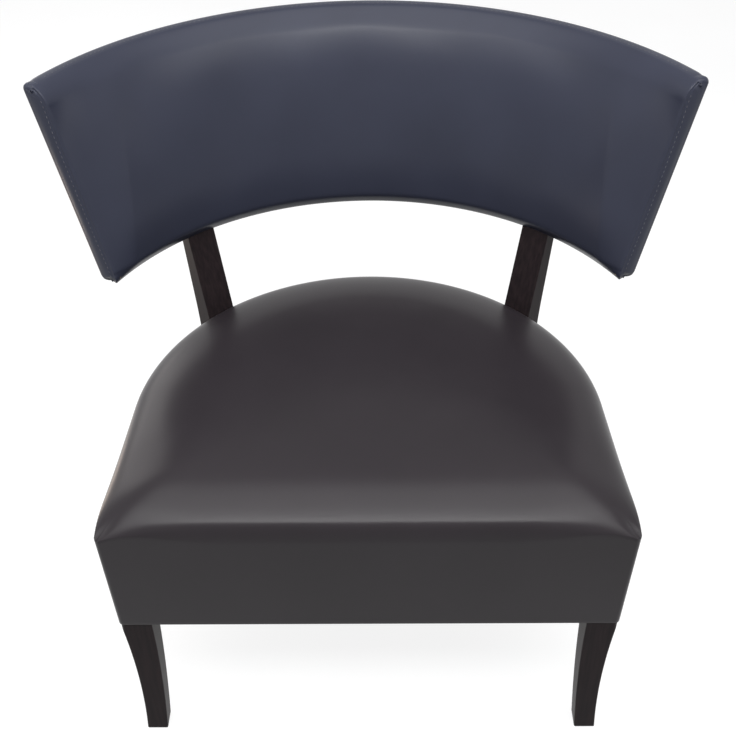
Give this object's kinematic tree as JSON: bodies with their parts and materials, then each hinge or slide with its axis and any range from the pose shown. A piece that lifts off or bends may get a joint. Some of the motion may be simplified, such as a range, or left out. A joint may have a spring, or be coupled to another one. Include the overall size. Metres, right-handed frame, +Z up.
{
  "type": "upholstered lounge chair",
  "caption": "Low upholstered lounge chair with a deep D-shaped crowned seat, a raked back that curves round the sitter on two stiles, and dark wooden legs.",
  "frame": {"origin": "bottom centre of the bounding box, on the floor", "axes": "+Z up, -Y towards the front of the seat, +X towards the left hand of a sitter"},
  "size_m": [0.8176, 0.6374, 0.775],
  "materials": {
    "vinyl_seat": "smooth matte-satin dark brown-grey vinyl",
    "vinyl_back": "smooth matte-satin dark blue-grey vinyl",
    "leg_wood": "near-black stained hardwood, satin lacquer",
    "frame_wood": "plain sawn hardwood",
    "plywood": "bent plywood, unfinished",
    "foam": "open-cell foam, cream",
    "wadding": "white polyester wadding",
    "lining": "black non-woven lining cloth",
    "webbing": "woven elastic webbing",
    "glide_plastic": "black nylon",
    "steel": "zinc-plated steel"
  },
  "bodies": {
    "root": {"back_board": "plywood", "back_bottom_rail_centre": "frame_wood", "back_bottom_rail_left": "frame_wood", "back_bottom_rail_right": "frame_wood", "back_end_boxing_left": "vinyl_back", "back_end_boxing_right": "vinyl_back", "back_end_post_left": "frame_wood", "back_end_post_right": "frame_wood", "back_foam": "foam", "back_inside_cover": "vinyl_back", "back_outside_cover": "vinyl_back", "back_top_rail_centre": "frame_wood", "back_top_rail_left": "frame_wood", "back_top_rail_right": "frame_wood", "block_screws": "steel", "board_screws": "steel", "corner_block_left": "frame_wood", "corner_block_right": "frame_wood", "corner_bolts": "steel", "corner_nuts": "steel", "dust_cover": "lining", "frame_dowels": "frame_wood", "front_leg_left": "leg_wood", "front_leg_right": "leg_wood", "glides": "glide_plastic", "rear_leg_bolts": "steel", "rear_leg_inserts": "steel", "rear_leg_left": "leg_wood", "rear_leg_right": "leg_wood", "rear_leg_washers": "steel", "rear_wadding": "wadding", "seat_back_rail": "frame_wood", "seat_cover": "vinyl_seat", "seat_deck_cloth": "lining", "seat_foam": "foam", "seat_front_rail": "frame_wood", "seat_side_rail_left": "frame_wood", "seat_side_rail_right": "frame_wood", "seat_webbing_cross": "webbing", "seat_webbing_long": "webbing", "side_wadding": "wadding", "splice_block_left": "frame_wood", "splice_block_right": "frame_wood", "stile_bolts": "steel", "tee_nuts": "steel"}
  },
  "joints": []
}
